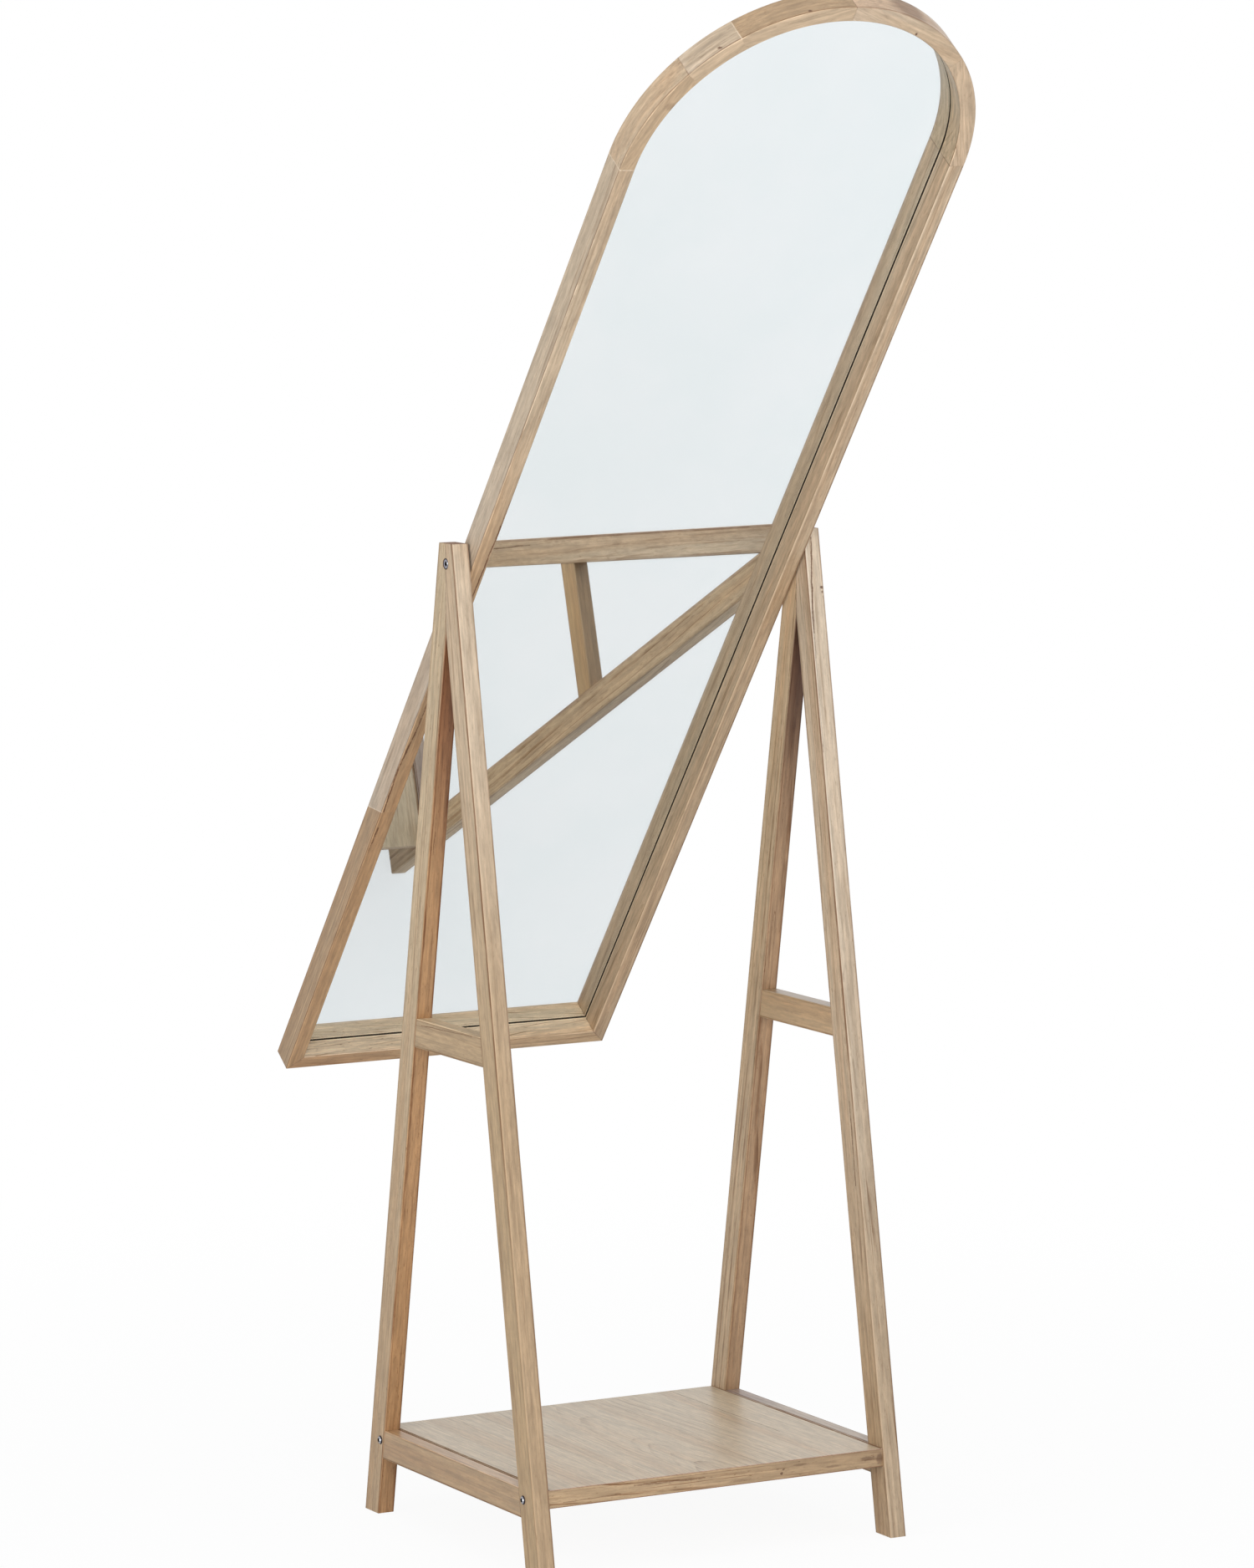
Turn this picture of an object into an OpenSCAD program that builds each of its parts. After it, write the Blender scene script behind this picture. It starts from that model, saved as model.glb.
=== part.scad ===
// Free-standing tilting mirror with shelf.
// X runs across the width, Y from front to back, Z up, and the origin is on the floor
// in the middle of the stand. Lengths are in millimetres.

/* [Stand] */
// Width over the outer faces of the two A-shaped sides
stand_w = 456; // [400:1:560]
// Depth on the floor from the front legs to the back legs
stand_d = 414; // [340:1:480]
// Height of the flat top of each side
stand_h = 1097; // [950:1:1250]
// Depth of the flat top of each side
apex_w = 31; // [26:1:44]
// Width of a leg, seen from the side
leg_w = 32; // [27:1:40]
// Thickness of a leg, seen from the front
leg_t = 19.5; // [18:0.5:30]
// Chamfer along the edges of the timber
arris = 0.8; // [0.4:0.1:2]

/* [Crossbars] */
// Height of the middle of the crossbars above the floor
crossbar_z = 555.5; // [350:0.5:760]
// Height of a crossbar's section
crossbar_h = 32; // [26:1:50]
// Thickness of a crossbar
crossbar_t = 18.5; // [14:0.5:20]

/* [Side rails] */
// Height of the upper side of the side rails above the floor
rail_top = 97; // [80:1:300]
// Height of a side rail's section
rail_h = 32.5; // [28:0.5:50]
// Gap between a side rail and the end of the shelf
rail_gap = 1.2; // [0.4:0.1:3]
// How far crossbars and side rails lie behind the outer face of the legs
bar_recess = 0.3; // [0.2:0.1:2]

/* [Shelf] */
// Thickness of the whole shelf board
shelf_t = 20; // [18:0.5:28]
// Thickness of the veneer on each side of the board
veneer_t = 0.7; // [0.5:0.1:1.5]
// Depth of the solid lipping at the front and at the back
lipping_d = 8; // [5:0.5:20]
// How far the shelf's top lies below the top of the side rails
shelf_drop = 0; // [0:0.5:8]
// How far the shelf's front edge stands back from the front of the legs
shelf_front_inset = 1; // [0:0.5:12]
// How far the shelf's back edge stands in from the back of the legs
shelf_back_inset = 4; // [0:0.5:12]

/* [Mirror frame] */
// Height of the whole mirror frame, along its own plane
mirror_l = 1512; // [1200:1:1760]
// Thickness of the frame from front to back
frame_t = 30; // [27:1:40]
// Distance of the pivots behind the front of the frame
pivot_depth = 19; // [15:0.5:20]
// Width of the frame's front face
frame_face = 17.5; // [16:0.5:30]
// Width of the rabbet that holds the glass
rabbet_w = 8; // [6:0.5:8.5]
// Gap between the mirror frame and the legs on each side
side_gap = 2; // [1.5:0.1:6]
// How far the top of the mirror leans forward
tilt = 37.3; // [0:0.1:60]
// Height of the middle of the scarf joint in the left stile above the frame's bottom
scarf_z = 396; // [120:1:470]
// Rise of the scarf joint across the thickness of the stile
scarf_rise = 18; // [10:1:60]

/* [Glass and back] */
// Thickness of the glass
glass_t = 3; // [2:0.5:5]
// Thickness of the backing board
backing_t = 2; // [2:0.5:4]
// Space behind the backing board up to the back of the frame
back_recess = 1; // [1:0.1:5]
// Gap round the glass and the backing board in the rabbet
glass_gap = 1.2; // [0.5:0.1:2]
// Length of a holding tab
tab_l = 12; // [8:0.5:12]
// Width of a holding tab
tab_w = 9; // [5:0.5:14]
// Thickness of a holding tab
tab_t = 0.6; // [0.4:0.1:0.9]
// Distance of the outer tabs of a stile from the stile's ends
tab_margin = 120; // [60:5:240]

/* [Bolts] */
// Depth of the pivot below the top of the sides
pivot_drop = 22; // [18:1:34]
// Diameter of the bolts' shanks
bolt_d = 6; // [5:1:8]
// Diameter of the pivot bolts' flush heads
pivot_head_d = 12; // [11:0.5:16]
// Diameter of the shelf bolts' domed heads
shelf_head_d = 10; // [9:0.5:14]
// Height of the shelf bolts' domed heads
shelf_head_h = 2.6; // [1.5:0.1:3.5]
// Width across the flats of the hexagon sockets
socket_w = 4; // [3:0.5:5]
// Depth of the hexagon sockets
socket_depth = 2; // [1:0.1:2.4]
// Outer diameter of the threaded inserts
insert_d = 9; // [8:0.5:12]
// Length of the inserts in the mirror's stiles
pivot_insert_l = 9; // [7:0.5:9]
// Length of the inserts in the shelf's ends
shelf_insert_l = 13; // [8:0.5:20]
// Outer diameter of the spacer washers at the pivots
washer_d = 16; // [12:0.5:20]
// Distance from the shelf bolts to the inner edge of the legs
bolt_edge = 8.8; // [7:0.2:14]
// How far the shelf bolts lie below the middle of the shelf
bolt_drop = 2; // [0:0.5:2.5]

/* [Dowels] */
// Diameter of the dowels
dowel_d = 6; // [5:0.5:7]
// Depth of a dowel in each of the two pieces that it joins
dowel_depth = 13; // [8:0.5:14]
// Distance between the two dowels in a crossbar's end
crossbar_dowel_pitch = 15; // [10:0.5:18]
// Height of a side rail's dowel above the rail's lower side
rail_dowel_z = 7; // [5:0.5:8]
// Thickness of the splines in the mitred corners
spline_t = 3; // [2:0.5:4]
// Length of the splines across the mitre
spline_l = 13; // [8:0.5:14]
// Width of the splines along the frame's thickness
spline_w = 15; // [8:0.5:18]

/* [Hidden] */
$fn = 48;

// Clearances
glue_gap = 0.05;      // round a dowel, and between a bolt and its insert
shaft_gap = 0.05;     // radial, round a pivot bolt in its hole
turn_gap = 0.3;       // between faces that pass each other as the mirror turns
bolt_gap = 0.2;       // radial, round a shelf bolt in its hole
cut = 1;              // how far a cutting shape runs past the face that it opens
big = 3000;           // larger than the whole object

// Places in the stand
lean = atan((stand_d - apex_w) / 2 / stand_h);
leg_run = leg_w / cos(lean);
side_x = stand_w / 2;
leg_x = side_x - leg_t / 2;
inner_x = side_x - leg_t;
pivot_z = stand_h - pivot_drop;
rail_z = rail_top - rail_h / 2;
rail_t = leg_t - bar_recess - rail_gap;
shelf_top = rail_top - shelf_drop;
shelf_z = shelf_top - shelf_t / 2;
crotch_z = stand_h - (leg_run - apex_w / 2) / tan(lean);
low_dowel_z = crotch_z + 3 * dowel_d;
apex_dowel_z = [low_dowel_z, (low_dowel_z + pivot_z) / 2];
core_t = shelf_t - 2 * veneer_t;

// Distance from the middle to the outer and to the inner edge of a leg at a height
function outer_y(z) = apex_w / 2 + (stand_h - z) * tan(lean);
function inner_y(z) = outer_y(z) - leg_run;

shelf_front = outer_y(shelf_top) - shelf_front_inset;
shelf_back = outer_y(shelf_top) - shelf_back_inset;
bolt_z = shelf_z - bolt_drop;
bolt_y = inner_y(bolt_z) + bolt_edge;

// Places in the mirror frame, measured from the pivot
frame_w = 2 * (inner_x - side_gap);
frame_r = frame_w / 2;
spring_z = mirror_l / 2 - frame_r;
foot_z = -mirror_l / 2;
lip_t = frame_t - back_recess - backing_t - glass_t;
glass_y = lip_t - pivot_depth;
backing_y = glass_y + glass_t;
tab_y = backing_y + backing_t;
rabbet_wall = frame_face - rabbet_w;
tab_sink = tab_l / 2;
pane_edge = rabbet_wall + glass_gap;
dowel_y = lip_t / 2 - pivot_depth;
arc_sag = dowel_depth * dowel_depth / (2 * frame_r);
dowel_r = frame_r - frame_face / 2 - arc_sag / 2;
scarf_at = foot_z + scarf_z;

// Joints of the arch, as angles from the right spring over the crown to the left spring
arch_joints = [0, 43, 90, 126, 144, 180];
// Tabs: heights on both stiles, places along the bottom rail, angles on the arch
tab_pitch = (spring_z - foot_z - 2 * tab_margin) / 3;
stile_tabs = [for (i = [0:3]) foot_z + tab_margin + i * tab_pitch];
rail_tabs = [-frame_w / 4, frame_w / 4];
arch_tabs = [24, 66, 108, 162];

wood = "#c9b394";
wood_warm = "#bf9f7c";
dowel_wood = "#d9b98c";
steel = "#c4c7ca";

// Shapes that several pieces share

// Section of a timber with a chamfer along each edge, centred
module timber_section(w, h) {
  x = w / 2;
  y = h / 2;
  polygon([
    [-x + arris, -y], [x - arris, -y], [x, -y + arris], [x, y - arris],
    [x - arris, y], [-x + arris, y], [-x, y - arris], [-x, -y + arris]
  ]);
}

// The children once on each side of the stand, for what sits on the X axis's two ends
module both_sides() {
  children();
  mirror([1, 0, 0]) children();
}

// The children at the front and at the back
module both_ends() {
  children();
  mirror([0, 1, 0]) children();
}

// Moves the children from upright at the pivot to the mirror's place
module on_mirror() {
  translate([0, 0, pivot_z]) rotate([tilt, 0, 0]) children();
}

// Hexagon socket that opens towards +Z
module socket() {
  translate([0, 0, -socket_depth])
    cylinder(d = socket_w / cos(30), h = socket_depth + cut, $fn = 6);
}

// Stand

// One dowel along Y, centred
module dowel_along_y(gap = 0) {
  rotate([90, 0, 0])
    cylinder(d = dowel_d + 2 * gap, h = 2 * (dowel_depth + gap), center = true);
}

// Dowels of the left side, or with a gap the holes that take them
module left_apex_dowels(gap = 0) {
  for (z = apex_dowel_z) translate([-leg_x, 0, z]) dowel_along_y(gap);
}

module left_crossbar_dowels(gap = 0) {
  for (side = [-1, 1]) {
    z = crossbar_z + side * crossbar_dowel_pitch / 2;
    both_ends() translate([-leg_x, -inner_y(z), z]) dowel_along_y(gap);
  }
}

module left_rail_dowels(gap = 0) {
  z = rail_top - rail_h + rail_dowel_z;
  both_ends() translate([-leg_x, -inner_y(z), z]) dowel_along_y(gap);
}

// Holes for the two bolts that hold the left side to the shelf
module left_shelf_bolt_holes() {
  both_ends() translate([-side_x - cut, -bolt_y, bolt_z]) rotate([0, 90, 0])
    cylinder(d = bolt_d + 2 * bolt_gap, h = leg_t + 2 * cut);
}

// Hole for the left pivot bolt, with the countersink for its head
module left_pivot_hole() {
  head_r = pivot_head_d / 2 + turn_gap;
  hole_r = bolt_d / 2 + shaft_gap;
  translate([-side_x, 0, pivot_z]) rotate([0, 90, 0]) {
    translate([0, 0, -cut]) cylinder(r = hole_r, h = leg_t + 2 * cut);
    translate([0, 0, -cut]) cylinder(r = head_r, h = cut + turn_gap);
    translate([0, 0, turn_gap]) cylinder(r1 = head_r, r2 = hole_r, h = head_r - hole_r);
  }
}

// The left front leg: a chamfered timber that leans back, cut level at the floor and at
// the top, and plumb on the middle plane where the back leg is glued to it
module left_front_leg_wood() {
  difference() {
    intersection() {
      translate([-leg_x, -stand_d / 2, 0]) rotate([-lean, 0, 0])
        translate([0, leg_w / 2, -leg_w])
          linear_extrude(stand_h / cos(lean) + 2 * leg_w) timber_section(leg_t, leg_w);
      translate([-side_x - cut, -stand_d, 0]) cube([leg_t + 2 * cut, stand_d, stand_h]);
    }
    left_apex_dowels(glue_gap);
    left_crossbar_dowels(glue_gap);
    left_rail_dowels(glue_gap);
    left_shelf_bolt_holes();
    left_pivot_hole();
  }
}

module left_front_leg() {
  color(wood) left_front_leg_wood();
}

module left_back_leg() {
  color(wood_warm) mirror([0, 1, 0]) left_front_leg_wood();
}

module right_front_leg() {
  color(wood) mirror([1, 0, 0]) left_front_leg_wood();
}

module right_back_leg() {
  color(wood_warm) mirror([1, 0, 0]) mirror([0, 1, 0]) left_front_leg_wood();
}

// A bar from leg to leg on the left side, its ends cut to the slope of the legs
module left_bar(z, h, t) {
  low = z - h / 2;
  high = z + h / 2;
  intersection() {
    translate([-side_x + bar_recess + t / 2, 0, z]) rotate([90, 0, 0])
      linear_extrude(stand_d, center = true) timber_section(t, h);
    translate([-side_x, 0, 0]) rotate([90, 0, 90]) linear_extrude(leg_t)
      polygon([
        [-inner_y(low), low], [inner_y(low), low],
        [inner_y(high), high], [-inner_y(high), high]
      ]);
  }
}

module left_crossbar_wood() {
  difference() {
    left_bar(crossbar_z, crossbar_h, crossbar_t);
    left_crossbar_dowels(glue_gap);
  }
}

module left_rail_wood() {
  difference() {
    left_bar(rail_z, rail_h, rail_t);
    left_rail_dowels(glue_gap);
  }
}

module left_crossbar() {
  color(wood) left_crossbar_wood();
}

module right_crossbar() {
  color(wood) mirror([1, 0, 0]) left_crossbar_wood();
}

module left_shelf_rail() {
  color(wood) left_rail_wood();
}

module right_shelf_rail() {
  color(wood) mirror([1, 0, 0]) left_rail_wood();
}

module apex_dowels() {
  color(dowel_wood) both_sides() left_apex_dowels();
}

module crossbar_dowels() {
  color(dowel_wood) both_sides() left_crossbar_dowels();
}

module rail_dowels() {
  color(dowel_wood) both_sides() left_rail_dowels();
}

// Shelf

// Four holes for the threaded inserts in the ends of the shelf
module shelf_insert_holes() {
  both_sides() both_ends()
    translate([-inner_x - cut, -bolt_y, bolt_z]) rotate([0, 90, 0])
      cylinder(d = insert_d + 2 * glue_gap, h = shelf_insert_l + glue_gap + cut);
}

// A flat slab as long as the shelf, from one depth to another
module shelf_slab(from_y, to_y, low, t) {
  translate([-inner_x, from_y, low]) cube([2 * inner_x, to_y - from_y, t]);
}

module shelf_core() {
  color("#cdbb9f") difference() {
    shelf_slab(lipping_d - shelf_front, shelf_back - lipping_d, shelf_z - core_t / 2, core_t);
    shelf_insert_holes();
  }
}

module shelf_front_lipping() {
  color(wood)
    shelf_slab(-shelf_front, lipping_d - shelf_front, shelf_z - core_t / 2, core_t);
}

module shelf_back_lipping() {
  color(wood)
    shelf_slab(shelf_back - lipping_d, shelf_back, shelf_z - core_t / 2, core_t);
}

module shelf_top_veneer() {
  color("#cbb395") shelf_slab(-shelf_front, shelf_back, shelf_top - veneer_t, veneer_t);
}

module shelf_bottom_veneer() {
  color("#cbb395") shelf_slab(-shelf_front, shelf_back, shelf_top - shelf_t, veneer_t);
}

// A bolt with a domed head, standing on the outer face of a leg and pointing to +Z
module shelf_bolt() {
  head_r = shelf_head_d / 2;
  dome_r = (head_r * head_r + shelf_head_h * shelf_head_h) / (2 * shelf_head_h);
  difference() {
    union() {
      cylinder(d = bolt_d, h = leg_t + shelf_insert_l);
      intersection() {
        translate([0, 0, dome_r - shelf_head_h]) sphere(r = dome_r);
        translate([0, 0, -shelf_head_h]) cylinder(r = head_r, h = shelf_head_h);
      }
    }
    translate([0, 0, -shelf_head_h]) rotate([180, 0, 0]) socket();
  }
}

module shelf_bolts() {
  color(steel) both_sides() both_ends()
    translate([-side_x, -bolt_y, bolt_z]) rotate([0, 90, 0]) shelf_bolt();
}

// A threaded insert from the face of the wood towards +Z
module insert(length) {
  difference() {
    cylinder(d = insert_d, h = length);
    translate([0, 0, -cut]) cylinder(d = bolt_d + 2 * glue_gap, h = length + 2 * cut);
  }
}

module shelf_inserts() {
  color("#b9a15a") both_sides() both_ends()
    translate([-inner_x, -bolt_y, bolt_z]) rotate([0, 90, 0]) insert(shelf_insert_l);
}

// Mirror frame, drawn upright about the pivot, with its front towards -Y

// Section of the frame: the distance in from the outer edge along X, the front at +Y
module frame_section() {
  front = pivot_depth;
  back = pivot_depth - frame_t;
  lip = front - lip_t;
  polygon([
    [0, back + arris], [0, front - arris], [arris, front], [frame_face - arris, front],
    [frame_face, front - arris], [frame_face, lip], [rabbet_wall, lip],
    [rabbet_wall, back], [arris, back]
  ]);
}

// A straight length of the frame section up the left edge
module left_edge() {
  translate([-frame_r, 0, foot_z - cut]) mirror([0, 1, 0])
    linear_extrude(spring_z - foot_z + cut) frame_section();
}

// Everything that is cut out of the wood of the frame
module frame_cuts() {
  frame_dowel_set(glue_gap);
  corner_spline_set(glue_gap);
  tab_set();
  both_sides() translate([-frame_r - cut, 0, 0]) rotate([0, 90, 0])
    cylinder(d = insert_d + 2 * glue_gap, h = pivot_insert_l + glue_gap + cut);
}

// The left stile in one length, mitred at the foot
module left_stile_wood() {
  difference() {
    intersection() {
      left_edge();
      rotate([90, 0, 0]) linear_extrude(2 * frame_t, center = true)
        polygon([
          [-frame_r, foot_z], [frame_face - frame_r, foot_z + frame_face],
          [frame_face - frame_r, spring_z], [-frame_r, spring_z]
        ]);
    }
    frame_cuts();
  }
}

// All that lies above the scarf joint, which rises from the back to the front
module above_scarf() {
  middle = frame_t / 2 - pivot_depth;
  half = frame_t / 2 + cut;
  rise = scarf_rise * half / frame_t;
  translate([0, middle, 0]) rotate([90, 0, 90]) linear_extrude(big, center = true)
    polygon([
      [-half, scarf_at + rise], [half, scarf_at - rise], [half, big], [-half, big]
    ]);
}

module left_stile_upper() {
  color(wood) on_mirror() intersection() {
    left_stile_wood();
    above_scarf();
  }
}

module left_stile_lower() {
  color(wood_warm) on_mirror() difference() {
    left_stile_wood();
    above_scarf();
  }
}

module right_stile() {
  color(wood) on_mirror() mirror([1, 0, 0]) left_stile_wood();
}

module bottom_rail() {
  inner = frame_r - frame_face;
  color(wood_warm) on_mirror() difference() {
    intersection() {
      translate([0, 0, foot_z]) rotate([0, 90, 0]) rotate([0, 0, 180])
        linear_extrude(frame_w, center = true) frame_section();
      rotate([90, 0, 0]) linear_extrude(2 * frame_t, center = true)
        polygon([
          [-frame_r, foot_z], [frame_r, foot_z],
          [inner, foot_z + frame_face], [-inner, foot_z + frame_face]
        ]);
    }
    frame_cuts();
  }
}

// One block of the arch, between two of its joints
module arch_block(i) {
  on_mirror() difference() {
    translate([0, 0, spring_z]) rotate([90, 0, 0]) rotate([0, 0, arch_joints[i]])
      rotate_extrude(angle = arch_joints[i + 1] - arch_joints[i], $fn = 180)
        translate([frame_r, 0]) mirror([1, 0, 0]) frame_section();
    frame_cuts();
  }
}

module arch_right_foot() {
  color(wood) arch_block(0);
}

module arch_right_crown() {
  color(wood_warm) arch_block(1);
}

module arch_left_crown() {
  color(wood) arch_block(2);
}

module arch_left_shoulder() {
  color(wood_warm) arch_block(3);
}

module arch_left_foot() {
  color(wood) arch_block(4);
}

// A dowel across each joint of the arch, or with a gap the holes for them
module frame_dowel_set(gap = 0) {
  for (a = arch_joints)
    translate([0, dowel_y, spring_z]) rotate([0, -a, 0]) translate([dowel_r, 0, 0])
      cylinder(d = dowel_d + 2 * gap, h = 2 * (dowel_depth + gap), center = true);
}

module frame_dowels() {
  color(dowel_wood) on_mirror() frame_dowel_set();
}

// A flat spline across each mitre, or with a gap the slots for them
module corner_spline_set(gap = 0) {
  both_sides()
    translate([frame_face / 2 - frame_r, dowel_y, foot_z + frame_face / 2]) rotate([0, 45, 0])
      cube([spline_l + 2 * gap, spline_w + 2 * gap, spline_t + 2 * gap], center = true);
}

module corner_splines() {
  color(dowel_wood) on_mirror() corner_spline_set();
}

// Glass and back

// Outline of the glass and of the backing board
module pane(low, t) {
  half = frame_r - pane_edge;
  translate([0, low + t, 0]) rotate([90, 0, 0]) linear_extrude(t) {
    translate([0, spring_z]) intersection() {
      circle(r = half, $fn = 180);
      translate([-big, 0]) square([2 * big, big]);
    }
    translate([-half, foot_z + pane_edge]) square([2 * half, spring_z - foot_z - pane_edge]);
  }
}

module mirror_glass() {
  color("#dfe5e8") on_mirror() pane(glass_y, glass_t);
}

module backing_board() {
  color("#8a6a4a") on_mirror() pane(backing_y, backing_t);
}

// One flat tab, half in the wall of the rabbet and half over the backing board, with the
// rabbet's wall at the origin and the wood towards +X
module tab() {
  translate([tab_sink - tab_l, tab_y, -tab_w / 2]) cube([tab_l, tab_t, tab_w]);
}

module tab_set() {
  wall = frame_r - rabbet_wall;
  for (z = stile_tabs) both_sides() translate([wall, 0, z]) tab();
  for (x = rail_tabs) translate([x, 0, foot_z + rabbet_wall]) rotate([0, 90, 0]) tab();
  for (a = arch_tabs) translate([0, 0, spring_z]) rotate([0, -a, 0])
    translate([wall, 0, 0]) tab();
}

module backing_tabs() {
  color(steel) on_mirror() tab_set();
}

// Pivots

// A bolt with a flush head, its head's face at the origin and its shank towards +Z
module pivot_bolt() {
  head_r = pivot_head_d / 2;
  length = leg_t + side_gap + pivot_insert_l - turn_gap;
  difference() {
    union() {
      cylinder(r1 = head_r, r2 = bolt_d / 2, h = head_r - bolt_d / 2);
      cylinder(d = bolt_d, h = length);
    }
    rotate([180, 0, 0]) socket();
  }
}

module pivot_bolts() {
  color(steel) on_mirror() both_sides()
    translate([turn_gap - side_x, 0, 0]) rotate([0, 90, 0]) pivot_bolt();
}

module pivot_inserts() {
  color("#b9a15a") on_mirror() both_sides()
    translate([-frame_r, 0, 0]) rotate([0, 90, 0]) insert(pivot_insert_l);
}

// A spacer between the stile and the leg, which turns with the mirror
module pivot_washers() {
  thick = side_gap - turn_gap;
  color("#e8e6df") on_mirror() both_sides()
    translate([-frame_r - thick, 0, 0]) rotate([0, 90, 0]) difference() {
      cylinder(d = washer_d, h = thick);
      translate([0, 0, -cut]) cylinder(r = bolt_d / 2 + shaft_gap, h = thick + 2 * cut);
    }
}

left_front_leg();
left_back_leg();
left_crossbar();
left_shelf_rail();
right_front_leg();
right_back_leg();
right_crossbar();
right_shelf_rail();
apex_dowels();
crossbar_dowels();
rail_dowels();
shelf_core();
shelf_front_lipping();
shelf_back_lipping();
shelf_top_veneer();
shelf_bottom_veneer();
shelf_bolts();
shelf_inserts();
left_stile_upper();
left_stile_lower();
right_stile();
bottom_rail();
arch_right_foot();
arch_right_crown();
arch_left_crown();
arch_left_shoulder();
arch_left_foot();
corner_splines();
frame_dowels();
mirror_glass();
backing_board();
backing_tabs();
pivot_bolts();
pivot_inserts();
pivot_washers();
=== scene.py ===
import math

import bmesh
import bpy
from mathutils import Matrix, Vector


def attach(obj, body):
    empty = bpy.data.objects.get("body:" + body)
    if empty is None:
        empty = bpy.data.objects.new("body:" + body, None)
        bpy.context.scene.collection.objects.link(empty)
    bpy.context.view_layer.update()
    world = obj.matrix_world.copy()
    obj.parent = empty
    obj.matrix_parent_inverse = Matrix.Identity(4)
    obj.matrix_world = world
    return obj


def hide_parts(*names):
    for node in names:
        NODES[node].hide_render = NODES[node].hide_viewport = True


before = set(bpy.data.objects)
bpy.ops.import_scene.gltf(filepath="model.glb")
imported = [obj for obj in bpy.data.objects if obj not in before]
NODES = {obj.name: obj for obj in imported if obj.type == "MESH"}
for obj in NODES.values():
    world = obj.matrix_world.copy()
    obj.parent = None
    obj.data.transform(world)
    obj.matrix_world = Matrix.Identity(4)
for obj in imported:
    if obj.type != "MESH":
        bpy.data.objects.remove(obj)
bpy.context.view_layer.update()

# Directions
LEFT = Vector((-1.0, 0.0, 0.0))
RIGHT = Vector((1.0, 0.0, 0.0))
FRONT = Vector((0.0, -1.0, 0.0))
BACK = Vector((0.0, 1.0, 0.0))
TOP = Vector((0.0, 0.0, 1.0))
EVERY = None  # the tone of the faces that have none of their own

# Sizes of the stand, in metres
STAND_W = 0.456
STAND_D = 0.414  # at the floor
STAND_H = 1.097
APEX_W = 0.031  # from front to back
LEG_W = 0.032
LEG_T = 0.0195
LEAN = math.atan((STAND_D - APEX_W) / 2 / STAND_H)
FRONT_UP = Vector((0.0, math.sin(LEAN), math.cos(LEAN)))  # up along a front leg
BACK_UP = Vector((0.0, -math.sin(LEAN), math.cos(LEAN)))  # up along a back leg
CROSSBAR_Z = 0.5555
RAIL_Z = 0.0808
SHELF_TOP = 0.097
SHELF_MIDDLE = 0.087
BAR_RECESS = 0.0003  # of the bars' outer faces behind the legs'
BAR_FACE_X = STAND_W / 2 - BAR_RECESS
INNER_CLEAR = 0.0003
INNER_X = STAND_W / 2 - LEG_T - INNER_CLEAR  # just clear of the legs' inner faces
LIPPING_Y = -0.189  # the front of the shelf

# Where the grain of a leg or a bar starts, across the stand and at the floor
SIDE_X = 0.218
FOOT_Y = 0.191

# Sizes of the mirror, and its directions as the photo shows it
PIVOT_DROP = 0.022  # from the top of the stand
PIVOT = Vector((0.0, 0.0, STAND_H - PIVOT_DROP))
TILT = math.radians(37.3)
UP = Vector((0.0, -math.sin(TILT), math.cos(TILT)))  # along the mirror, towards the arch
OUT = Vector((0.0, -math.cos(TILT), -math.sin(TILT)))  # out of the mirror's front
BEHIND = -OUT
MIRROR_L = 1.512
SIDE_GAP = 0.002  # between the frame and the legs
FRAME_R = STAND_W / 2 - LEG_T - SIDE_GAP  # the arch's outer radius and half the frame's width
SPRING = MIRROR_L / 2 - FRAME_R  # the height of the arch's ends above the pivot
FOOT = -MIRROR_L / 2
FACE = 0.009  # from the outer edge to the middle of the frame's face
FRAME_T = 0.03
FRAME_MIDDLE = 0.004  # the middle of its thickness, in front of the pivot
SCARF_UP = 0.396  # from the frame's foot to the middle of the scarf
SCARF_RISE = 0.018  # how much higher the scarf is on one face than on the other
ARCH = {
    "arch_right_foot": (0, 43),
    "arch_right_crown": (43, 90),
    "arch_left_crown": (90, 126),
    "arch_left_shoulder": (126, 144),
    "arch_left_foot": (144, 180),
}

# The glass as the frame holds it, measured from the pivot
glass_corners = [v.co - PIVOT for v in NODES["mirror_glass"].data.vertices]
GLASS_HALF = max(abs(c.x) for c in glass_corners)
GLASS_FOOT = min(c.dot(UP) for c in glass_corners)
GLASS_BACK = min(c.dot(OUT) for c in glass_corners)
LIP_BACK = max(c.dot(OUT) for c in glass_corners)  # where the frame's lip ends and the glass starts


def on_mirror(u, v, n):
    """The place u to the right of the pivot, v along the mirror and n out of its front."""
    return PIVOT + RIGHT * u + UP * v + OUT * n


def outer_y(z):
    """How far the legs' outer faces stand from the middle plane, at a height."""
    return APEX_W / 2 + (STAND_H - z) * math.tan(LEAN)


def inner_y(z):
    """How far the legs' inner faces stand from the middle plane, at a height."""
    return outer_y(z) - LEG_W / math.cos(LEAN)


def on_front_leg(x, z, depth=0.0):
    """A place on a front leg, at a depth behind its front face."""
    return Vector((x, depth - outer_y(z), z))


def on_back_leg(x, z, depth=0.0):
    """A place on a back leg, at a depth behind the face that looks forward."""
    return Vector((x, depth + inner_y(z), z))


def on_lipping(x, z):
    """A place on the front edge of the shelf."""
    return Vector((x, LIPPING_Y, z))


def spots(where, *marks):
    """Knots on a face that looks forward. marks are x, z, half their width and height, and their strength."""
    deep = 0.004
    return [(where(x, z), (wide, deep, high), strength) for x, z, wide, high, strength in marks]


def line_through(places, *marks):
    """Streaks from each place to the next. marks are their widths and strengths."""
    return [(start, end, *mark) for start, end, mark in zip(places, places[1:], marks)]


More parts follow.
